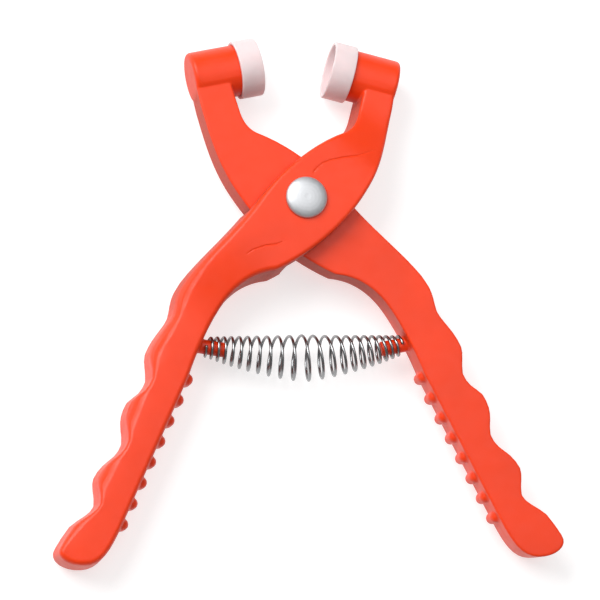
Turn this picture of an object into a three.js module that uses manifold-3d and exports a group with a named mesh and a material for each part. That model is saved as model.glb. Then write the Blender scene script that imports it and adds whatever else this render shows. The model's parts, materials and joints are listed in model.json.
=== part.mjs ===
// Spring clamp: two crossed moulded levers on a rivet, a barrel spring between the handles
// and a hollow cup on the end of each jaw. It lies on its back: X to the right, Y towards
// the jaws, Z up through the thickness. Millimetres and degrees. The pieces are drawn about
// the rivet's axis, half-way through a handle, and the whole is then set down on its base.
import * as THREE from 'three';
import { mergeVertices } from 'three/addons/utils/BufferGeometryUtils.js';
import Module from 'manifold-3d';

const wasm = await Module();
wasm.setup();

// Driving sizes
const leverThickness = 13.5;
const halfThick = leverThickness / 2;
const plateRise = 6.0; // how far the front lever rises to pass over the rear lever
const plateFace = halfThick + plateRise;
const jawAngle = 14.5; // each cup's angle from the centre line, jaws open
const closingTravel = 28.2; // from jaws open until the cups all but touch
const frontJaw = { radius: 46.2, tilt: 14.5 }; // pivot to the cup's open face, and the boss's slope
const rearJaw = { radius: 46.9, tilt: 11.2 };
const bossRadius = 8.3;
const bossEnd = 22.4; // cup's face to the lever's outer wall, along the boss
const bossRound = 1.3;
const cupRadius = 9.35;
const cupLength = 7.4;
const cupWall = 1.2;
const cupHollow = 4.4;
const cupFloor = 1.0;
const cupFit = 0.02; // around the boss, where the cup is pushed on
const cupChamfer = 0.3;
const postReach = 25; // centre line to a post's tip
const postLength = 11;
const postClearance = 0.15; // around a post, inside the spring's end coils
const postRound = 0.5;
const nubRadius = 2.0;
const nubInset = 0.4;
const nubCount = 8;
const nubSpan = 9.0; // end to end, across the lever's thickness
const nubMargin = { top: 0.6, tip: 1.8 }; // from the ends of the grip's straight wall
const nubBehind = 0.4; // the row sits this far behind the middle of the thickness
const rivetRadius = 3.0;
const rivetHeadRadius = 6.6;
const rivetHeadHeight = 2.4;
const rivetTailRadius = 5.2;
const rivetTailHeight = 1.6;
const rivetEdge = 0.7; // height of the head's rim, and chamfer of the tail
const rivetFit = 0.01;
const runningGap = 0.05;
const slideGap = 0.1; // between the two levers' flat faces
const sweepGap = 0.35; // between a lever and the pocket it turns in
const wireRadius = 0.475;
const springTurns = 22;
const springSeatGap = 0.4; // from an end coil to the handle's wall
const springEndRadius = 3.0;
const springMidRadius = 7.15;
const springEndY = -45.5;
const springMidY = -49.4;
const springBow = 1.5; // power of the curve that the spring's axis bows in
const springPitch = { even: 0.643, power: 2.5 }; // share of the length spread evenly, the rest opening up
const springGrow = { rate: 1.08, start: 0.06 }; // how the coils widen from the ends
const draft = 0.65; // how far the outer face is inset from the inner one
const crispRound = 0.35;
const edgeRound = { jaw: 1.0, plate: 1.2, grip: 1.7, finger: 0.8, palm: 3.0 };
const roundSteps = 3;
const shortestStep = 2.4; // along a straight edge, more than any edge there is rounded
const roundBlend = 3; // outline points to each side over which the rounding changes
const rampStep = 4.4;
const pocketTurns = 6;
const fineSides = 48;
const postSides = 24;
const nubSides = 12;
const quarterSteps = 5;
const domeSteps = 8;
const coilSteps = 14;
const crownRadius = 5.5; // the outer face rolls off towards the fingers along a crest
const crestAcross = 8.7; // grip's inner wall to the crest
const crestWave = { height: 1.1, length: 100, start: 5 }; // the crest sways along the grip
const crestEnd = { start: 48, ease: 0.012 }; // and runs out to the edge at the tip

const degrees = Math.PI / 180;
const plastic = { color: 0xff4f2e, roughness: 0.42, metalness: 0 };
const cupPlastic = { color: 0xfbeff1, roughness: 0.5, metalness: 0 };
const steel = { color: 0xc9ccd0, roughness: 0.28, metalness: 1 };
const rivetSteel = { color: 0xd3d6d9, roughness: 0.36, metalness: 1 };

// Join and cut of three.js geometries
function toSolid(source) {
  const geometry = source.clone();
  geometry.deleteAttribute('normal');
  geometry.deleteAttribute('uv');
  const merged = mergeVertices(geometry, 1e-5);
  const corners = merged.index.array;
  const kept = [];
  for (let i = 0; i < corners.length; i += 3) {
    const [a, b, c] = [corners[i], corners[i + 1], corners[i + 2]];
    if (a !== b && b !== c && c !== a) kept.push(a, b, c);
  }
  const mesh = new wasm.Mesh({
    numProp: 3,
    vertProperties: new Float32Array(merged.attributes.position.array),
    triVerts: new Uint32Array(kept),
  });
  return new wasm.Manifold(mesh);
}

function toGeometry(solid) {
  const mesh = solid.getMesh();
  const geometry = new THREE.BufferGeometry();
  geometry.setAttribute('position', new THREE.BufferAttribute(new Float32Array(mesh.vertProperties), 3));
  geometry.setIndex(new THREE.BufferAttribute(new Uint32Array(mesh.triVerts), 1));
  geometry.computeVertexNormals();
  return geometry;
}

// Outline of a lever, clockwise from the top of its jaw. The rear lever's is then mirrored.
const v = (x, y) => new THREE.Vector2(x, y);

// A place on a boss's axis, a distance outwards from its cup's open face
function onBoss(jaw, distance) {
  const tilt = jaw.tilt * degrees;
  const face = v(Math.sin(jawAngle * degrees), Math.cos(jawAngle * degrees)).multiplyScalar(jaw.radius);
  return v(Math.cos(tilt), -Math.sin(tilt)).multiplyScalar(distance).add(face);
}

const wallFoot = v(31.7, 30.8);
const jawHip = v(19.8, 1.1);
const step = v(-9.9, -23.6); // corner in the lower edge, beside the pivot
const gripTop = v(-25.6, -32.3);
const gripStart = v(-37.6, -55.8);
const gripEnd = v(-60.4, -103);
const tipEnd = v(-72, -114.6);
const tipCorner = v(-80.2, -107.6);
const palmTop = v(-38.0, -23.8);
const shoulder = v(-15.2, 0.3);
const neckCorner = v(13.9, 22.4);
const neckFoot = v(18.9, 28.8);
const neckOnBoss = 11.5;

// The finger side, from the tip upwards: a heel, three like bumps and a gentler one under the forefinger
const fingerPeaks = [v(-67.9, -89.8), v(-58.6, -70.4), v(-50.4, -50.7)];
const fingerBump = [v(-6, -11.6), v(-2.3, -8.7), v(0.1, -5), v(0, 0), v(0.25, 3.7)];
const heel = [v(-75.6, -101), v(-70.7, -97.7)];
const forefinger = [v(-47.7, -42.5), v(-44.9, -38.9), v(-42.7, -35.6), v(-41.7, -31.2), v(-40.5, -27.7)];
function fingerPoints() {
  const bumps = fingerPeaks.map((peak) => fingerBump.map((point) => point.clone().add(peak)));
  bumps[0].splice(0, heel.length, ...heel);
  return [tipCorner, ...bumps.flat(), ...forefinger, palmTop];
}
const fingers = fingerPoints();
const fingerShare = 1 - (forefinger.length + 1) / (fingers.length - 1);

function stretch(curve, from, to, steps, round) {
  return { point: (i) => curve.getPoint(from + ((to - from) * i) / steps), curve, steps, round };
}
function bend(a, b, c, d, steps, round) {
  return stretch(new THREE.CubicBezierCurve(a, b, c, d), 0, 1, steps, round);
}
function straight(a, b, mostSteps, round) {
  const steps = THREE.MathUtils.clamp(Math.floor(a.distanceTo(b) / shortestStep), 1, mostSteps);
  return stretch(new THREE.LineCurve(a, b), 0, 1, steps, round);
}
function leverEdges(jaw) {
  const wallTop = onBoss(jaw, bossEnd);
  const neckTop = onBoss(jaw, neckOnBoss);
  const fingerCurve = new THREE.SplineCurve(fingers);
  const fingerSteps = Math.round(2 * fingerShare * (fingers.length - 1));
  return [
    straight(wallTop, wallFoot, 3, edgeRound.jaw),
    bend(wallFoot, v(29.1, 20.9), v(26.9, 11.2), jawHip, 12, edgeRound.jaw),
    bend(jawHip, v(14.5, -7), v(4, -17), step, 14, edgeRound.plate),
    bend(step, v(-16.5, -24.2), v(-21.5, -27.2), gripTop, 10, edgeRound.grip),
    bend(gripTop, v(-30, -38), v(-35, -48.5), gripStart, 8, edgeRound.grip),
    straight(gripStart, gripEnd, 6, edgeRound.grip),
    bend(gripEnd, v(-63.6, -109.4), v(-66.5, -114.4), tipEnd, 8, edgeRound.grip),
    bend(tipEnd, v(-77.5, -114.9), v(-82.8, -111.6), tipCorner, 8, edgeRound.grip),
    stretch(fingerCurve, 0, fingerShare, fingerSteps, edgeRound.finger),
    stretch(fingerCurve, fingerShare, 1, 2 * (forefinger.length + 1), edgeRound.palm),
    bend(palmTop, v(-32, -16.3), v(-22, -8.3), shoulder, 9, edgeRound.palm),
    bend(shoulder, v(-9, 7.8), v(0.5, 17.3), neckCorner, 12, edgeRound.plate),
    bend(neckCorner, v(16.3, 23.5), v(17.9, 25.6), neckFoot, 6, edgeRound.jaw),
    straight(neckFoot, neckTop, 3, edgeRound.jaw),
    straight(neckTop, wallTop, 2, edgeRound.jaw),
  ];
}

function inwardNormal(from, to) {
  return v(from.y - to.y, to.x - from.x).normalize();
}
// The outline's points, counter-clockwise, each with its inward direction and its edge rounding
function outlinePoints(jaw) {
  const points = [];
  for (const edge of leverEdges(jaw)) {
    for (let i = 0; i < edge.steps; i++) points.push({ ...edge.point(i), round: edge.round });
  }
  points.reverse();
  const count = points.length;
  return points.map((p, i) => {
    let sum = 0;
    for (let k = -roundBlend; k <= roundBlend; k++) sum += points[(i + k + count) % count].round;
    const before = inwardNormal(points[(i + count - 1) % count], p);
    const inward = inwardNormal(p, points[(i + 1) % count]).add(before).normalize();
    inward.divideScalar(Math.max(inward.dot(before), 0.6));
    return { x: p.x, y: p.y, round: sum / (2 * roundBlend + 1), inX: inward.x, inY: inward.y };
  });
}

// A lever blank: a drafted wall, crisp where it meets the other lever's side and rounded on the outer side
function leverBlank(jaw) {
  const outline = outlinePoints(jaw);
  const count = outline.length;
  const points = [];
  const faces = [];
  const rings = [{ outer: false, angle: 90 * degrees }, { outer: false, angle: 0 }];
  for (let k = 0; k <= roundSteps; k++) rings.push({ outer: true, angle: (k / roundSteps) * 90 * degrees });
  for (const ring of rings) {
    for (const p of outline) {
      const round = ring.outer ? p.round : crispRound;
      const depth = round * (1 - Math.sin(ring.angle));
      const height = ring.outer ? leverThickness - depth : depth;
      const inset = round * (1 - Math.cos(ring.angle)) + (draft * height) / leverThickness;
      points.push([p.x + p.inX * inset, p.y + p.inY * inset, height - halfThick]);
    }
  }
  for (let r = 0; r + 1 < rings.length; r++) {
    for (let i = 0; i < count; i++) {
      const a = r * count + i;
      const b = r * count + ((i + 1) % count);
      faces.push([a, b, b + count]);
      faces.push([a, b + count, a + count]);
    }
  }
  for (const [start, up] of [[0, false], [(rings.length - 1) * count, true]]) {
    const contour = points.slice(start, start + count).map((p) => v(p[0], p[1]));
    for (const [a, b, c] of THREE.ShapeUtils.triangulateShape(contour, [])) {
      const turn = (contour[b].x - contour[a].x) * (contour[c].y - contour[a].y)
        - (contour[b].y - contour[a].y) * (contour[c].x - contour[a].x);
      if (turn > 0 === up) faces.push([start + a, start + b, start + c]);
      else faces.push([start + a, start + c, start + b]);
    }
  }
  return { points, faces };
}

// Adds a point wherever an edge of the raised side crosses one of the levels of a measure over the plan
function splitFaces(blank, measure, levels) {
  for (const level of levels) {
    const offsets = blank.points.map((p) => measure(p[0], p[1]) - level);
    const raised = blank.points.map((p) => p[2] > 0);
    const crosses = (a, b) => raised[a] && raised[b] && (offsets[a] < 0) !== (offsets[b] < 0);
    const cuts = new Map();
    const cutPoint = (a, b) => {
      const [lo, hi] = a < b ? [a, b] : [b, a];
      const key = `${lo}_${hi}`;
      if (!cuts.has(key)) {
        const t = offsets[lo] / (offsets[lo] - offsets[hi]);
        const q = blank.points[hi];
        blank.points.push(blank.points[lo].map((value, i) => value + t * (q[i] - value)));
        cuts.set(key, blank.points.length - 1);
      }
      return cuts.get(key);
    };
    const kept = [];
    for (const face of blank.faces) {
      const corner = [0, 1, 2].find((i) => crosses(face[i], face[(i + 1) % 3])
        && !crosses(face[(i + 1) % 3], face[(i + 2) % 3]));
      if (corner === undefined) {
        kept.push(face);
        continue;
      }
      const [a, b, c] = [0, 1, 2].map((i) => face[(corner + i) % 3]);
      const ab = cutPoint(a, b);
      kept.push([ab, b, c]);
      if (crosses(c, a)) {
        const ca = cutPoint(c, a);
        kept.push([a, ab, ca], [ab, c, ca]);
      } else kept.push([a, ab, c]);
    }
    blank.faces = kept;
  }
  return blank;
}

// The outer face rolls off beyond a crest that runs down the grip
const gripLine = gripEnd.clone().sub(gripStart).normalize();
function pastCrest(x, y) {
  const offset = v(x, y).sub(gripStart);
  const down = offset.dot(gripLine);
  const across = gripLine.cross(offset) * -1;
  const sway = crestWave.height * Math.sin(((down - crestWave.start) / crestWave.length) * 2 * Math.PI);
  return across - crestAcross + sway - crestEnd.ease * Math.max(0, down - crestEnd.start) ** 2;
}
function rollOff(distance) {
  const reach = THREE.MathUtils.clamp(distance, 0, 0.95 * crownRadius);
  return crownRadius - Math.sqrt(crownRadius ** 2 - reach ** 2);
}
const crownLevels = [0, 0.22, 0.44, 0.66, 0.88].map((share) => share * crownRadius);

function blankGeometry(blank) {
  const geometry = new THREE.BufferGeometry();
  geometry.setAttribute('position', new THREE.Float32BufferAttribute(blank.points.flat(), 3));
  geometry.setIndex(blank.faces.flat());
  return geometry;
}

// The front lever's face rises over the pivot and falls away along the jaw and the handle
const leverLine = v(0.68, 0.73);
const alongLever = (x, y) => x * leverLine.x + y * leverLine.y;
const rampHandle = { start: -20, end: -54 };
const rampJaw = { start: 18, end: 40 };
function riseAt(distance) {
  const ramp = distance < 0 ? rampHandle : rampJaw;
  const t = THREE.MathUtils.clamp((distance - ramp.start) / (ramp.end - ramp.start), 0, 1);
  return plateRise * (1 - t * t * (3 - 2 * t));
}
function rampLevels() {
  const levels = [];
  for (const ramp of [rampHandle, rampJaw]) {
    const steps = Math.round(Math.abs(ramp.end - ramp.start) / rampStep);
    for (let i = 0; i <= steps; i++) levels.push(ramp.start + ((ramp.end - ramp.start) * i) / steps);
  }
  return levels;
}

// Solids of revolution along a boss; distance runs from the cup's open face outwards
function onJaw(profile, side) {
  const jaw = side < 0 ? rearJaw : frontJaw;
  const face = onBoss(jaw, 0);
  const geometry = new THREE.LatheGeometry(profile.map(([r, d]) => v(r, d)), fineSides);
  geometry.rotateZ(-(90 + jaw.tilt) * degrees);
  geometry.translate(face.x, face.y, 0);
  if (side < 0) mirrorX(geometry);
  return geometry;
}
function mirrorX(geometry) {
  geometry.scale(-1, 1, 1);
  const index = geometry.index.array;
  for (let i = 0; i < index.length; i += 3) [index[i], index[i + 1]] = [index[i + 1], index[i]];
  return geometry;
}
function quarter(centreR, centreD, radius, from, to) {
  const points = [];
  for (let i = 0; i <= quarterSteps; i++) {
    const angle = (from + ((to - from) * i) / quarterSteps) * degrees;
    points.push([centreR + radius * Math.cos(angle), centreD + radius * Math.sin(angle)]);
  }
  return points;
}

const bossFront = cupHollow + cupFloor;
const bossProfile = [
  [0, bossFront],
  [bossRadius, bossFront],
  ...quarter(bossRadius - bossRound, bossEnd - bossRound, bossRound, 0, 90),
  [0, bossEnd],
];

const cupBore = bossRadius + cupFit;
const cupProfile = [
  [0, cupHollow],
  [cupRadius - cupWall, cupHollow],
  [cupRadius - cupWall, cupChamfer],
  [cupRadius - cupWall + cupChamfer, 0],
  [cupRadius - cupChamfer, 0],
  [cupRadius, cupChamfer],
  [cupRadius, cupLength - cupChamfer],
  [cupRadius - cupChamfer, cupLength],
  [cupBore, cupLength],
  [cupBore, bossFront],
  [0, bossFront],
];

// The spring ends against the handles' inner walls, at the height of the posts
function wallAt(height) {
  const wall = leverEdges(frontJaw)[4].curve;
  let low = 0;
  let high = 1;
  for (let i = 0; i < 40; i++) {
    const middle = (low + high) / 2;
    if (wall.getPoint(middle).y > height) low = middle;
    else high = middle;
  }
  return Math.abs(wall.getPoint(low).x);
}
const endCoilLean = springEndRadius / 4; // an end coil leans towards the handle with the axis
const springHalfLength = wallAt(springEndY) - springSeatGap - endCoilLean;

// The spring's axis bows away from the pivot between its two ends
function springAxis(x) {
  const share = Math.abs(x) / springHalfLength;
  const y = springMidY + (springEndY - springMidY) * share ** springBow;
  const slope = (springBow * (springEndY - springMidY) * share ** (springBow - 1)) / springHalfLength;
  return { y, slope: slope * Math.sign(x) };
}

function post(side) {
  const radius = springEndRadius - wireRadius - postClearance;
  const profile = [
    [0, 0],
    [radius, 0],
    ...quarter(radius - postRound, postLength - postRound, postRound, 0, 90),
    [0, postLength],
  ];
  const tip = v(-postReach, springAxis(-postReach).y);
  const seat = v(-springHalfLength, springAxis(-springHalfLength).y);
  const geometry = new THREE.LatheGeometry(profile.map(([r, d]) => v(r, d)), postSides);
  geometry.translate(0, -postLength, 0);
  geometry.rotateZ(Math.atan2(tip.y - seat.y, tip.x - seat.x) - Math.PI / 2);
  geometry.translate(tip.x, tip.y, 0);
  if (side < 0) mirrorX(geometry);
  return geometry;
}

// Short rounded ribs across the inner wall of the handle
function nubs(side) {
  const inward = v(gripLine.y, -gripLine.x);
  const row = gripEnd.distanceTo(gripStart) - nubMargin.top - nubMargin.tip;
  const made = [];
  for (let i = 0; i < nubCount; i++) {
    const down = nubMargin.top + (row * i) / (nubCount - 1);
    const centre = gripLine.clone().multiplyScalar(down).add(gripStart);
    centre.addScaledVector(inward, nubInset);
    const geometry = new THREE.CapsuleGeometry(nubRadius, nubSpan - 2 * nubRadius, 3, nubSides);
    geometry.rotateX(Math.PI / 2);
    geometry.translate(centre.x, centre.y, -nubBehind);
    if (side < 0) mirrorX(geometry);
    made.push(geometry);
  }
  return made;
}

function drill(radius) {
  const depth = 4 * leverThickness;
  const geometry = new THREE.CylinderGeometry(radius, radius, depth, fineSides);
  geometry.rotateX(Math.PI / 2);
  return toSolid(geometry);
}

// The space the rear lever sweeps as the jaws close, as the front lever sees it
function sweptPocket() {
  const outline = outlinePoints(rearJaw).map((p) => v(p.x - p.inX * sweepGap, p.y - p.inY * sweepGap));
  const options = { depth: leverThickness + 1, bevelEnabled: false };
  const geometry = new THREE.ExtrudeGeometry(new THREE.Shape(outline), options);
  geometry.translate(0, 0, -halfThick - slideGap);
  geometry.rotateY(Math.PI);
  const blade = toSolid(geometry);
  let pocket = blade;
  for (let i = 1; i <= pocketTurns; i++) {
    pocket = pocket.add(blade.rotate([0, 0, (-closingTravel * i) / pocketTurns]));
  }
  return pocket;
}

function makeLever(side) {
  const front = side > 0;
  const blank = splitFaces(leverBlank(front ? frontJaw : rearJaw), pastCrest, crownLevels);
  for (const p of blank.points) if (p[2] > 0) p[2] -= rollOff(pastCrest(p[0], p[1]));
  if (front) {
    splitFaces(blank, alongLever, rampLevels());
    for (const p of blank.points) if (p[2] > 0) p[2] += riseAt(alongLever(p[0], p[1]));
  }
  const shape = blankGeometry(blank);
  if (!front) shape.rotateY(Math.PI);
  let solid = toSolid(shape);
  solid = solid.add(toSolid(onJaw(bossProfile, side)));
  solid = solid.add(toSolid(post(side)));
  for (const nub of nubs(side)) solid = solid.add(toSolid(nub));
  if (front) solid = solid.subtract(sweptPocket());
  solid = solid.subtract(drill(rivetRadius + (front ? runningGap : rivetFit)));
  return toGeometry(solid);
}

function makeRivet() {
  const head = plateFace;
  const tail = -halfThick;
  const domeRise = rivetHeadHeight - rivetEdge;
  const domeRadius = (rivetHeadRadius ** 2 + domeRise ** 2) / (2 * domeRise);
  const profile = [[0, tail - rivetTailHeight], [rivetTailRadius - rivetEdge, tail - rivetTailHeight]];
  profile.push([rivetTailRadius, tail - rivetTailHeight + rivetEdge], [rivetTailRadius, tail]);
  profile.push([rivetRadius, tail], [rivetRadius, head], [rivetHeadRadius, head]);
  for (let i = 0; i <= domeSteps; i++) {
    const r = i === domeSteps ? 0 : rivetHeadRadius * Math.cos((i / domeSteps) * 90 * degrees);
    profile.push([r, head + rivetEdge + Math.sqrt(domeRadius ** 2 - r ** 2) - domeRadius + domeRise]);
  }
  const geometry = new THREE.LatheGeometry(profile.map(([r, z]) => v(r, z)), fineSides);
  geometry.rotateX(Math.PI / 2);
  return toGeometry(toSolid(geometry));
}

// Barrel spring, coiled right-handed: the pitch and the coil radius grow towards the middle
class SpringPath extends THREE.Curve {
  getPoint(t, target = new THREE.Vector3()) {
    const u = 2 * t - 1;
    const outer = Math.abs(u);
    const run = springPitch.even * outer + (1 - springPitch.even) * (1 - (1 - outer) ** springPitch.power);
    const x = springHalfLength * run * Math.sign(u);
    const grow = THREE.MathUtils.clamp(springGrow.rate * (1 - outer) - springGrow.start, 0, 1);
    const radius = springEndRadius + (springMidRadius - springEndRadius) * grow;
    const { y, slope } = springAxis(x);
    const length = Math.hypot(1, slope);
    const angle = (2 * t * springTurns + 1) * Math.PI;
    const across = radius * Math.sin(angle);
    return target.set(x - (slope / length) * across, y + across / length, -radius * Math.cos(angle));
  }
}
function makeSpring() {
  const wire = new THREE.Shape();
  wire.absarc(0, 0, wireRadius, 0, 2 * Math.PI);
  const options = { steps: springTurns * coilSteps, curveSegments: 3, bevelEnabled: false };
  options.extrudePath = new SpringPath();
  const geometry = new THREE.ExtrudeGeometry(wire, options);
  return toGeometry(toSolid(geometry));
}

function part(name, geometry, look) {
  const mesh = new THREE.Mesh(geometry, new THREE.MeshStandardMaterial(look));
  mesh.name = name;
  return mesh;
}

const group = new THREE.Group();
group.name = 'spring_clamp';
group.add(part('front_lever', makeLever(1), plastic));
group.add(part('rear_lever', makeLever(-1), plastic));
group.add(part('front_jaw_cup', toGeometry(toSolid(onJaw(cupProfile, 1))), cupPlastic));
group.add(part('rear_jaw_cup', toGeometry(toSolid(onJaw(cupProfile, -1))), cupPlastic));
group.add(part('return_spring', makeSpring(), steel));
group.add(part('rivet', makeRivet(), rivetSteel));

// The origin is under the middle of the overall box, on the surface that the clamp lies on
const box = new THREE.Box3().setFromObject(group);
group.position.set(-(box.min.x + box.max.x) / 2, -(box.min.y + box.max.y) / 2, -box.min.z);

export default group;
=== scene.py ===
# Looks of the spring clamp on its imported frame. Blender 4.5, metres, the frame's own coordinates.
# Sizes are in millimetres, and places are measured from the pivot, unless a comment says otherwise.
import json
import math

import bmesh
import bpy
import numpy as np
from mathutils import Euler, Matrix, Vector


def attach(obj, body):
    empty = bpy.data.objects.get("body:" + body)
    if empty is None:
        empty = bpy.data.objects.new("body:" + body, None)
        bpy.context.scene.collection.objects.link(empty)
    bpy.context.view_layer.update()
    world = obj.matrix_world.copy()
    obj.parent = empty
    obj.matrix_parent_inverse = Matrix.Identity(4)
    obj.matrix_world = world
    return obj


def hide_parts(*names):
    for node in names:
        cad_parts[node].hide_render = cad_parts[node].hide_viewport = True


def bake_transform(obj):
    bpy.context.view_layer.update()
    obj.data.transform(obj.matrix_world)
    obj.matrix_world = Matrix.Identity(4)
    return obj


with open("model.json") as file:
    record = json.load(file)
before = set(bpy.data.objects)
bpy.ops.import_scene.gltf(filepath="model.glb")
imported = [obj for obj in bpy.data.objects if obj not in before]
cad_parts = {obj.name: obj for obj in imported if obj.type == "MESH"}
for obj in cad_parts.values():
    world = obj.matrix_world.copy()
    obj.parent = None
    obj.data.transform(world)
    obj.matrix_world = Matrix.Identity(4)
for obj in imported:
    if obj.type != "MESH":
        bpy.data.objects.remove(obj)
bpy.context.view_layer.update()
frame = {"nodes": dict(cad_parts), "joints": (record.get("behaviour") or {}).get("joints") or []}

MM = 0.001
DEG = math.pi / 180
scene = bpy.context.scene
pivot = Vector(frame["joints"][0]["pos_m"])  # on the rivet's axis, half-way through a handle


# ---------------------------------------------------------------- small helpers
LATHE_STEPS = 128
AXIS = 1e-6  # a lathe point nearer to the axis than this lies on it


def new_object(name, mesh):
    obj = bpy.data.objects.new(name, mesh)
    scene.collection.objects.link(obj)
    return obj


def object_from(bm, name):
    """A smooth-shaded object of what bm holds."""
    mesh = bpy.data.meshes.new(name)
    bm.to_mesh(mesh)
    bm.free()
    mesh.shade_smooth()
    return new_object(name, mesh)


def apply_modifiers(obj):
    depsgraph = bpy.context.evaluated_depsgraph_get()
    mesh = bpy.data.meshes.new_from_object(obj.evaluated_get(depsgraph), depsgraph=depsgraph)
    obj.modifiers.clear()
    old = obj.data
    obj.data = mesh
    bpy.data.meshes.remove(old)


def coordinates(mesh):
    flat = np.zeros(len(mesh.vertices) * 3)
    mesh.vertices.foreach_get("co", flat)
    return flat.reshape(-1, 3)


def set_coordinates(mesh, points):
    mesh.vertices.foreach_set("co", points.ravel())
    mesh.update()


def vertex_normals(mesh):
    flat = np.zeros(len(mesh.vertices) * 3)
    mesh.vertices.foreach_get("normal", flat)
    return flat.reshape(-1, 3)


def lathe(name, profile):
    """A solid of revolution about Z from (radius, height) points that start and end on the axis."""
    bm = bmesh.new()
    rings = []
    for radius, height in profile:
        if radius < AXIS:
            rings.append([bm.verts.new((0, 0, height * MM))])
            continue
        ring = []
        for i in range(LATHE_STEPS):
            angle = 2 * math.pi * i / LATHE_STEPS
            x, y = radius * math.cos(angle), radius * math.sin(angle)
            ring.append(bm.verts.new((x * MM, y * MM, height * MM)))
        rings.append(ring)
    for a, b in zip(rings, rings[1:]):
        for i in range(LATHE_STEPS):
            j = (i + 1) % LATHE_STEPS
            corners = []
            for v in (a[i % len(a)], a[j % len(a)], b[j % len(b)], b[i % len(b)]):
                if v not in corners:
                    corners.append(v)
            if len(corners) > 2:
                bm.faces.new(corners)
    bmesh.ops.recalc_face_normals(bm, faces=bm.faces)
    return object_from(bm, name)


def arc(radius, height, size, start, end, steps=6):
    """Points of a quarter round about (radius, height), angles in degrees from the radius axis."""
    return [(radius + size * math.cos((start + (end - start) * i / steps) * DEG),
             height + size * math.sin((start + (end - start) * i / steps) * DEG))
            for i in range(steps + 1)]


def wear(obj, look):
    obj.data.materials.clear()
    obj.data.materials.append(look)


# ---------------------------------------------------------------- shader nodes
MIDDLE = (0.3, 0.7)  # where most of a noise's values lie


def material(name):
    made = bpy.data.materials.new(name)
    made.use_nodes = True
    return made, made.node_tree.nodes, made.node_tree.links, made.node_tree.nodes["Principled BSDF"]


def set_inputs(node, **values):
    """Sets a shader node's inputs by name, with _ for a space."""
    for socket, value in values.items():
        node.inputs[socket.replace("_", " ")].default_value = value


def node_of(nodes, kind, **values):
    made = nodes.new("ShaderNode" + kind)
    set_inputs(made, **values)
    return made


def noise(nodes, links, place, scale, detail):
    made = node_of(nodes, "TexNoise", Scale=scale, Detail=detail)
    links.new(place.outputs["Object"], made.inputs["Vector"])
    return made.outputs["Fac"]


def mapped(nodes, links, value, span, result=(0, 1)):
    """Turns a value's span into a result's, and stays within it."""
    made = node_of(nodes, "MapRange", From_Min=span[0], From_Max=span[1],
                   To_Min=result[0], To_Max=result[1])
    links.new(value, made.inputs["Value"])
    return made.outputs["Result"]


def worked_out(nodes, links, operation, *values):
    """What a Math node makes of other nodes' outputs."""
    made = nodes.new("ShaderNodeMath")
    made.operation = operation
    for socket, value in zip(made.inputs, values):
        links.new(value, socket)
    return made.outputs["Value"]


def parts_of(nodes, links, vector):
    """A vector's X, Y and Z, by name."""
    made = nodes.new("ShaderNodeSeparateXYZ")
    links.new(vector, made.inputs["Vector"])
    return made.outputs


def blended(nodes, links, share, first, second):
    """A colour between two, each a colour or another node's output."""
    made = nodes.new("ShaderNodeMix")
    made.data_type = "RGBA"
    links.new(share, made.inputs["Factor"])
    for socket, colour in ((made.inputs[6], first), (made.inputs[7], second)):
        if isinstance(colour, tuple):
            socket.default_value = (*colour, 1)
        else:
            links.new(colour, socket)
    return made.outputs[2]


def bumped(nodes, links, shader, layers):
    """Bump from (height, strength, depth in metres) layers, one over another."""
    below = None
    for height, strength, depth in layers:
        bump = node_of(nodes, "Bump", Distance=depth)
        if isinstance(strength, float):
            bump.inputs["Strength"].default_value = strength
        else:
            links.new(strength, bump.inputs["Strength"])
        links.new(height, bump.inputs["Height"])
        if below:
            links.new(below, bump.inputs["Normal"])
        below = bump.outputs["Normal"]
    links.new(below, shader.inputs["Normal"])


def shades(colour, dark, light):
    return tuple(c * dark for c in colour), tuple(min(1, c * light) for c in colour)


# ---------------------------------------------------------------- materials
WALL_TILT = (0.45, 0.12)  # upright part of the normal, where the walls' matt grain and painted shade start and are whole
BOSS_FADE, BOSS_MATT_AND_SHADE = (37, 33), 0.35  # the walls' painted shade and matt grain thin out over these heights to this share on the bosses
GRIP_FADE, GRIP_MATT_AND_SHADE = (-40, -26), 0.12  # and over these to this share on the grips
WALL_ROUGHNESS = 0.62


def wall_matt_and_shade_mask(nodes, links, place):
    """Mask of the side walls' painted shade and matt grain: 1 on the arms' side walls, less on those of the
    bosses and grips, and 0 on level faces.
    """
    normal = nodes.new("ShaderNodeNewGeometry").outputs["Normal"]
    upright = worked_out(nodes, links, "ABSOLUTE", parts_of(nodes, links, normal)["Z"])
    along = parts_of(nodes, links, place.outputs["Object"])["Y"]
    fades = []
    for heights, share in ((BOSS_FADE, BOSS_MATT_AND_SHADE), (GRIP_FADE, GRIP_MATT_AND_SHADE)):
        span = [pivot.y + height * MM for height in heights]
        fades.append(mapped(nodes, links, along, span, (share, 1)))
    on_arm = worked_out(nodes, links, "MULTIPLY", *fades)
    return worked_out(nodes, links, "MULTIPLY", mapped(nodes, links, upright, WALL_TILT), on_arm)


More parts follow.
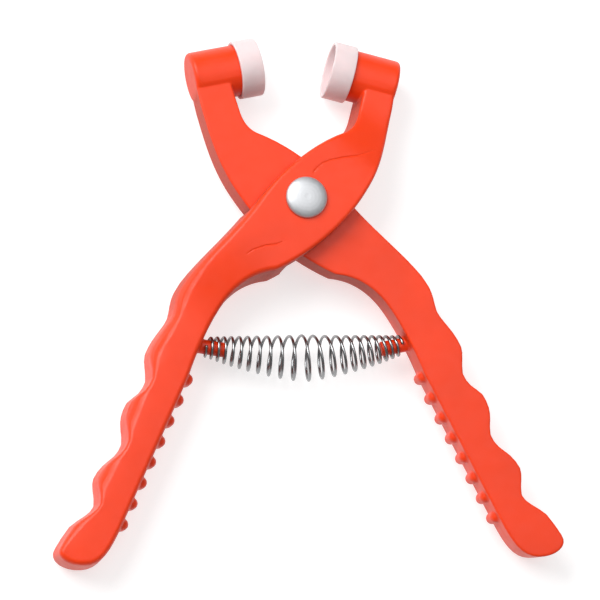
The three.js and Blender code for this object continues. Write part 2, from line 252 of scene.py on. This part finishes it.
def moulded_plastic(name, face, wall):
    """Orange plastic, glossy on its faces, and matt and grainy on its side walls, whose darker colour is
    painted shade.
    """
    made, nodes, links, shader = material(name)
    place = nodes.new("ShaderNodeTexCoord")
    broad = noise(nodes, links, place, scale=45, detail=3)
    cloud = noise(nodes, links, place, scale=260, detail=4)
    grain = noise(nodes, links, place, scale=2600, detail=2)
    sparks = noise(nodes, links, place, scale=1500, detail=3)
    matt_and_shade = wall_matt_and_shade_mask(nodes, links, place)

    face_tone = blended(nodes, links, mapped(nodes, links, broad, MIDDLE), *shades(face, 0.93, 1.05))
    sparkle = mapped(nodes, links, sparks, (0.35, 0.65))
    # The side walls take the darker wall colour, which is painted shade, with a real fine grain in its
    # tone.
    wall_tone = blended(nodes, links, sparkle, *shades(wall, 0.9, 1.1))
    links.new(blended(nodes, links, matt_and_shade, face_tone, wall_tone), shader.inputs["Base Color"])

    rough = nodes.new("ShaderNodeMix")
    links.new(matt_and_shade, rough.inputs["Factor"])
    links.new(mapped(nodes, links, cloud, MIDDLE, (0.34, 0.46)), rough.inputs["A"])
    rough.inputs["B"].default_value = WALL_ROUGHNESS
    links.new(rough.outputs["Result"], shader.inputs["Roughness"])

    bumped(nodes, links, shader, [(cloud, 0.10, 0.4 * MM),
                                  (grain, 0.10, 0.03 * MM),
                                  (sparks, mapped(nodes, links, matt_and_shade, (0, 1), (0, 0.5)), 0.12 * MM)])
    set_inputs(shader, Specular_IOR_Level=0.35, Subsurface_Weight=0.08, Subsurface_Scale=1 * MM,
               Subsurface_Radius=(1.0, 0.25, 0.12))
    return made


def cup_plastic(name, colour):
    """Milky soft plastic, slightly uneven in tone."""
    made, nodes, links, shader = material(name)
    place = nodes.new("ShaderNodeTexCoord")
    broad = noise(nodes, links, place, scale=120, detail=3)
    grain = noise(nodes, links, place, scale=2200, detail=3)
    tone = blended(nodes, links, mapped(nodes, links, broad, MIDDLE), *shades(colour, 0.93, 1.03))
    links.new(tone, shader.inputs["Base Color"])
    links.new(mapped(nodes, links, broad, MIDDLE, (0.45, 0.6)), shader.inputs["Roughness"])
    bumped(nodes, links, shader, [(broad, 0.15, 0.3 * MM), (grain, 0.12, 0.04 * MM)])
    set_inputs(shader, Specular_IOR_Level=0.3, Subsurface_Weight=0.4, Subsurface_Scale=1.8 * MM,
               Subsurface_Radius=(1.0, 0.7, 0.65))
    return made


def metal(name, colour, roughness):
    """Bare steel with a fine grain."""
    made, nodes, links, shader = material(name)
    place = nodes.new("ShaderNodeTexCoord")
    grain = noise(nodes, links, place, scale=900, detail=4)
    links.new(blended(nodes, links, grain, *shades(colour, 0.85, 1)), shader.inputs["Base Color"])
    uneven = mapped(nodes, links, grain, (0, 1), (roughness - 0.05, roughness + 0.08))
    links.new(uneven, shader.inputs["Roughness"])
    bumped(nodes, links, shader, [(grain, 0.08, 0.02 * MM)])
    set_inputs(shader, Metallic=1)
    return made


# The wall colour, darker than the face's, is painted shade on the side walls.
orange = moulded_plastic("orange_plastic", face=(0.80, 0.042, 0.003), wall=(0.50, 0.050, 0.022))
# The cups' pink tint is painted reflection of the orange levers.
white = cup_plastic("cup_plastic", (0.72, 0.60, 0.605))
spring_steel = metal("spring_steel", (0.30, 0.305, 0.31), roughness=0.2)
rivet_steel = metal("rivet_steel", (0.64, 0.65, 0.67), roughness=0.52)


# ---------------------------------------------------------------- moulded levers
WELD = 1e-6  # metres
VOXEL = 0.30 * MM
RELAX_SHARE = 0.5  # of the way to its neighbours' middle, which a point moves in a pass
EDGE_PASSES = 3  # soften the edges
LEVEL_PASSES = 160  # smooth the facets of the gentle slopes
LEVEL = 0.88  # upright part of the normal above which a face counts as level
LEVEL_RINGS = 3  # of faces, kept from the edges of level ground
SKIN = 0.03 * MM  # taken off, so that the sliding faces stay clear of each other
MOST_TRIANGLES = 182000  # in a lever before its creases


def level_ground(mesh, a, b):
    """1 on level ground away from its edges, and 0 elsewhere; a and b are the ends of the mesh's edges."""
    flat = (np.abs(vertex_normals(mesh)[:, 2]) > LEVEL).astype(float)
    for _ in range(LEVEL_RINGS):
        lowest = flat.copy()
        np.minimum.at(lowest, a, flat[b])
        np.minimum.at(lowest, b, flat[a])
        flat = lowest
    return flat[:, None]


def relax(mesh, passes, only_level=False):
    """Moves each point towards the middle of its neighbours, which rounds off what is small and sharp."""
    edges = np.zeros(len(mesh.edges) * 2, np.int64)
    mesh.edges.foreach_get("vertices", edges)
    a, b = edges.reshape(-1, 2).T
    points = coordinates(mesh)
    count = np.bincount(a, minlength=len(points)) + np.bincount(b, minlength=len(points))
    share = RELAX_SHARE * level_ground(mesh, a, b) if only_level else RELAX_SHARE
    for _ in range(passes):
        total = np.zeros_like(points)
        for axis in range(3):
            total[:, axis] = (np.bincount(a, points[b, axis], len(points))
                              + np.bincount(b, points[a, axis], len(points)))
        points += share * (total / count[:, None] - points)
    set_coordinates(mesh, points)


def moulded(node):
    """A CAD node's own form as one fine mesh, with soft edges and smooth slopes."""
    bm = bmesh.new()
    bm.from_mesh(frame["nodes"][node].data)
    bmesh.ops.remove_doubles(bm, verts=bm.verts, dist=WELD)
    obj = object_from(bm, node + "_moulded")
    remesh = obj.modifiers.new("remesh", "REMESH")
    remesh.mode = "VOXEL"
    remesh.voxel_size = VOXEL
    apply_modifiers(obj)
    relax(obj.data, EDGE_PASSES)
    relax(obj.data, LEVEL_PASSES, only_level=True)
    set_coordinates(obj.data, coordinates(obj.data) - SKIN * vertex_normals(obj.data))
    triangles = 2 * len(obj.data.polygons)
    if triangles > MOST_TRIANGLES:
        decimate = obj.modifiers.new("decimate", "DECIMATE")
        decimate.ratio = MOST_TRIANGLES / triangles
        apply_modifiers(obj)
    obj.data.shade_smooth()
    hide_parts(node)
    return obj


# Fine creases in the top of the front lever's plate, below the rivet and above it
CREASES = [[(-20, -18.2), (-17.5, -16.6), (-13.5, -15.3), (-10, -14.9), (-6.9, -13.8)],
           [(2.5, 6.9), (2.9, 8.4), (4.1, 9.8), (5.9, 11.2), (8.2, 12.1), (12.5, 13.1), (17.4, 13.8),
            (24.6, 16.3)]]
CREASE_DEPTH = 0.2
CREASE_REACH = 0.2  # to either side, where a third of the depth is left
CREASE_STRIP = 0.8  # to either side, where the faces are divided
CREASE_DIVISIONS = 2
CREASE_RUN_OUT = 1 / 6  # share of its length over which each end fades
PLATE_ONLY = 6  # nothing but the plate lies higher than this


def distance_to(line, points):
    """Distance of each point to a polyline, and how far along it the nearest place lies, 0 to 1."""
    best = np.full(len(points), np.inf)
    along = np.zeros(len(points))
    line = np.array(line, float)
    for i, (a, b) in enumerate(zip(line, line[1:])):
        step = b - a
        t = np.clip((points - a) @ step / (step @ step), 0, 1)
        gap = np.linalg.norm(points - a - t[:, None] * step, axis=1)
        nearer = gap < best
        best[nearer] = gap[nearer]
        along[nearer] = (i + t[nearer]) / (len(line) - 1)
    return best, along


def press_crease(mesh, line):
    """Presses a crease into the plate's top along a line of points."""
    bm = bmesh.new()
    bm.from_mesh(mesh)
    for _ in range(CREASE_DIVISIONS):
        bm.verts.index_update()
        local = (np.array([v.co for v in bm.verts]) - np.array(pivot)) / MM
        gap, _along = distance_to(line, local[:, :2])
        near = (gap < CREASE_STRIP) & (local[:, 2] > PLATE_ONLY)
        edges = [e for e in bm.edges if near[e.verts[0].index] and near[e.verts[1].index]]
        bmesh.ops.subdivide_edges(bm, edges=edges, cuts=1, use_grid_fill=True)
    bmesh.ops.triangulate(bm, faces=[f for f in bm.faces if len(f.verts) > 4])
    bm.to_mesh(mesh)
    bm.free()
    points = coordinates(mesh)
    local = (points - np.array(pivot)) / MM
    gap, along = distance_to(line, local[:, :2])
    ends = np.clip(np.minimum(along, 1 - along) / CREASE_RUN_OUT, 0, 1)
    top = local[:, 2] > PLATE_ONLY
    points[:, 2] -= top * ends * CREASE_DEPTH * np.exp(-(gap / CREASE_REACH) ** 2) * MM
    set_coordinates(mesh, points)


for node, body in (("front_lever", "front_arm"), ("rear_lever", "rear_arm")):
    lever = moulded(node)
    if node == "front_lever":
        for crease in CREASES:
            press_crease(lever.data, crease)
    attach(lever, body)
    wear(lever, orange)


# ---------------------------------------------------------------- jaw cups
BOSS_RADIUS = 8.3
CUP_RADIUS, CUP_LENGTH, CUP_WALL = 9.35, 7.4, 1.2
CUP_HOLLOW, CUP_FLOOR = 4.4, 1.0  # depth of the open side, and thickness of its floor
CUP_FIT = 0.02  # around the boss
CUP_EDGE, CUP_CORNER = 0.35, 0.6  # rounding of the outer edges, and between wall and floor
JAW_ANGLE = 14.5  # each cup's angle from the centre line, in degrees
JAWS = {"front": (46.2, 14.5, 1), "rear": (46.9, 11.2, -1)}  # pivot to the cup's face, boss's slope, side


def cup_profile():
    inner = CUP_RADIUS - CUP_WALL
    bore = BOSS_RADIUS + CUP_FIT
    points = [(0, CUP_HOLLOW)]
    points += arc(inner - CUP_CORNER, CUP_HOLLOW - CUP_CORNER, CUP_CORNER, 90, 0)
    points += arc(inner + CUP_EDGE, CUP_EDGE, CUP_EDGE, 180, 270)
    points += arc(CUP_RADIUS - CUP_EDGE, CUP_EDGE, CUP_EDGE, -90, 0)
    points += arc(CUP_RADIUS - CUP_EDGE, CUP_LENGTH - CUP_EDGE, CUP_EDGE, 0, 90)
    points += [(bore, CUP_LENGTH), (bore, CUP_HOLLOW + CUP_FLOOR), (0, CUP_HOLLOW + CUP_FLOOR)]
    return points


def jaw_frame(radius, tilt, side):
    """Puts a shape drawn about Z on a jaw's boss, Z running outwards from the cup's open face."""
    face = Vector((side * math.sin(JAW_ANGLE * DEG), math.cos(JAW_ANGLE * DEG), 0)) * radius * MM
    out = Vector((side * math.cos(tilt * DEG), -math.sin(tilt * DEG), 0))
    return Matrix.Translation(pivot + face) @ out.to_track_quat("Z", "Y").to_matrix().to_4x4()


for jaw, (radius, tilt, side) in JAWS.items():
    cup = lathe(jaw + "_cup", cup_profile())
    cup.data.transform(jaw_frame(radius, tilt, side))
    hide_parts(jaw + "_jaw_cup")
    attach(cup, jaw + "_arm")
    wear(cup, white)


# ---------------------------------------------------------------- rivet
RIVET_TOP, RIVET_BOTTOM = 12.75, -6.75  # the two outer faces that it holds together
SHANK_RADIUS = 3.0
HEAD_RADIUS, HEAD_HEIGHT, HEAD_RIM = 6.6, 2.4, 0.6
HEAD_CHAMFER = (0.15, 0.2)  # under the rim, inwards and upwards
DOME_POWER = 2.4  # 2 gives an ellipse, more a flatter top
DOME_RINGS = 60
PRESSED_DEPTH, PRESSED_SPACING, PRESSED_FADE = 0.01, 1.15, 4  # faint rings, fading by this power to the rim
DIMPLE_DEPTH, DIMPLE_RADIUS = 0.05, 0.8
TAIL_RADIUS, TAIL_HEIGHT, TAIL_ROUND = 5.2, 1.6, 0.7


def rivet_profile():
    """A flat-topped dome with faint pressed rings and a dimple from the riveting tool."""
    rise = HEAD_HEIGHT - HEAD_RIM
    tail = RIVET_BOTTOM - TAIL_HEIGHT
    points = [(0, tail)]
    points += arc(TAIL_RADIUS - TAIL_ROUND, tail + TAIL_ROUND, TAIL_ROUND, -90, 0)
    points += [(TAIL_RADIUS, RIVET_BOTTOM), (SHANK_RADIUS, RIVET_BOTTOM), (SHANK_RADIUS, RIVET_TOP)]
    points += [(HEAD_RADIUS - HEAD_CHAMFER[0], RIVET_TOP), (HEAD_RADIUS, RIVET_TOP + HEAD_CHAMFER[1])]
    for i in range(DOME_RINGS + 1):
        share = math.cos(i / DOME_RINGS * 90 * DEG)
        r = HEAD_RADIUS * share
        dome = HEAD_RIM + rise * math.sqrt(max(0, 1 - share ** DOME_POWER))
        pressed = PRESSED_DEPTH * (1 - math.cos(2 * math.pi * r / PRESSED_SPACING)) / 2
        dimple = DIMPLE_DEPTH * math.exp(-(r / DIMPLE_RADIUS) ** 2)
        height = dome - (1 - share ** PRESSED_FADE) * pressed - dimple
        points.append((0 if i == DOME_RINGS else r, RIVET_TOP + height))
    return points


rivet = lathe("rivet_domed", rivet_profile())
rivet.data.transform(Matrix.Translation(pivot))
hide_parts("rivet")
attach(rivet, "rear_arm")
wear(rivet, rivet_steel)


# ---------------------------------------------------------------- spring
WIRE_RADIUS, WIRE_SIDES = 0.475, 12
TURNS, STEPS_IN_TURN = 22, 40
HALF_LENGTH = 31.8
END_RADIUS, MID_RADIUS = 3.0, 7.15
END_Y, MID_Y = -45.5, -49.4
BOW = 1.5  # power of the curve that the axis bows in
EVEN_PITCH, PITCH_POWER = 0.643, 2.5  # share of the length spread evenly, the rest opening up
GROW_RATE, GROW_START = 1.08, 0.06  # how the coils widen from the ends


def spring_point(t):
    """The wire's middle at t, 0 to 1 from the front handle to the rear one."""
    u = 2 * t - 1
    outer = abs(u)
    run = EVEN_PITCH * outer + (1 - EVEN_PITCH) * (1 - (1 - outer) ** PITCH_POWER)
    x = HALF_LENGTH * run * (1 if u > 0 else -1)
    grow = min(max(GROW_RATE * (1 - outer) - GROW_START, 0), 1)
    radius = END_RADIUS + (MID_RADIUS - END_RADIUS) * grow
    share = abs(x) / HALF_LENGTH
    y = MID_Y + (END_Y - MID_Y) * share ** BOW
    slope = BOW * (END_Y - MID_Y) * share ** (BOW - 1) / HALF_LENGTH * (1 if x > 0 else -1)
    length = math.hypot(1, slope)
    angle = (2 * t * TURNS + 1) * math.pi
    across = radius * math.sin(angle)
    place = Vector((x - slope / length * across, y + across / length, -radius * math.cos(angle)))
    return place * MM + pivot


def tube(name, points, radius, sides):
    """A closed tube along points, its ring turned as little as possible from one to the next."""
    bm = bmesh.new()
    rings = []
    normal = None
    for i, p in enumerate(points):
        along = (points[min(i + 1, len(points) - 1)] - points[max(i - 1, 0)]).normalized()
        if normal is None:
            normal = along.orthogonal().normalized()
        normal = (normal - along * normal.dot(along)).normalized()
        other = along.cross(normal)
        rings.append([bm.verts.new(p + (normal * math.cos(a) + other * math.sin(a)) * radius)
                      for a in (2 * math.pi * k / sides for k in range(sides))])
    for a, b in zip(rings, rings[1:]):
        for k in range(sides):
            bm.faces.new((a[k], a[(k + 1) % sides], b[(k + 1) % sides], b[k]))
    bm.faces.new(reversed(rings[0]))
    bm.faces.new(rings[-1])
    bmesh.ops.recalc_face_normals(bm, faces=bm.faces)
    return object_from(bm, name)


wire_steps = TURNS * STEPS_IN_TURN
wire_points = [spring_point(i / wire_steps) for i in range(wire_steps + 1)]
spring = tube("barrel_spring", wire_points, WIRE_RADIUS * MM, WIRE_SIDES)
wear(spring, spring_steel)
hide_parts("return_spring")
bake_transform(spring)


# ---------------------------------------------------------------- floor, light, camera
FLOOR_REACH = 3  # metres, to each side
FLOOR_GREY, FLOOR_GLOW = 0.5, 0.62
LIT_PLACE = (0, 0.03, 0)  # metres, where both softboxes point
SOFTBOXES = {"overhead": ((0.19, 0.21, 0.86), 0.75, 2.8),  # place and side in metres, power in watts
             "key": ((-0.75, 0.63, 0.95), 0.9, 20)}
ROOM_LIGHT = 0.28
CAMERA_PLACE = (-0.19625, -0.14958, 0.91771)  # metres
CAMERA_TURN = (9.5654, -11.8008, -2.2195)  # degrees about X, Y and Z
LENS, SENSOR = 177.42, 36  # millimetres
NEAREST, FARTHEST = 0.05, 10  # metres, that the camera sees

floor_mesh = bpy.data.meshes.new("floor")
floor_corners = [(x * FLOOR_REACH, y * FLOOR_REACH, 0) for x, y in ((-1, -1), (1, -1), (1, 1), (-1, 1))]
floor_mesh.from_pydata(floor_corners, [], [(0, 1, 2, 3)])
floor = new_object("floor", floor_mesh)
paper, *_, paper_shader = material("paper")
set_inputs(paper_shader, Base_Color=(FLOOR_GREY, FLOOR_GREY, FLOOR_GREY, 1), Roughness=0.9,
           Emission_Color=(1, 1, 1, 1), Emission_Strength=FLOOR_GLOW, Specular_IOR_Level=0.1)
wear(floor, paper)

for name, (place, side, power) in SOFTBOXES.items():
    light = bpy.data.lights.new(name, "AREA")
    light.shape = "RECTANGLE"
    light.size = light.size_y = side
    light.energy = power
    softbox = bpy.data.objects.new(name, light)
    softbox.location = place
    softbox.rotation_mode = "QUATERNION"
    softbox.rotation_quaternion = (Vector(LIT_PLACE) - Vector(place)).to_track_quat("-Z", "Y")
    scene.collection.objects.link(softbox)

world = bpy.data.worlds.new("studio")
world.use_nodes = True
set_inputs(world.node_tree.nodes["Background"], Color=(1, 1, 1, 1), Strength=ROOM_LIGHT)
scene.world = world
scene.view_settings.view_transform = "Standard"

camera_data = bpy.data.cameras.new("camera")
camera_data.sensor_width = SENSOR
camera_data.lens = LENS
camera_data.clip_start = NEAREST
camera_data.clip_end = FARTHEST
camera = new_object("camera", camera_data)
camera_turn = Euler([angle * DEG for angle in CAMERA_TURN]).to_matrix().to_4x4()
camera.matrix_world = Matrix.Translation(CAMERA_PLACE) @ camera_turn
scene.camera = camera
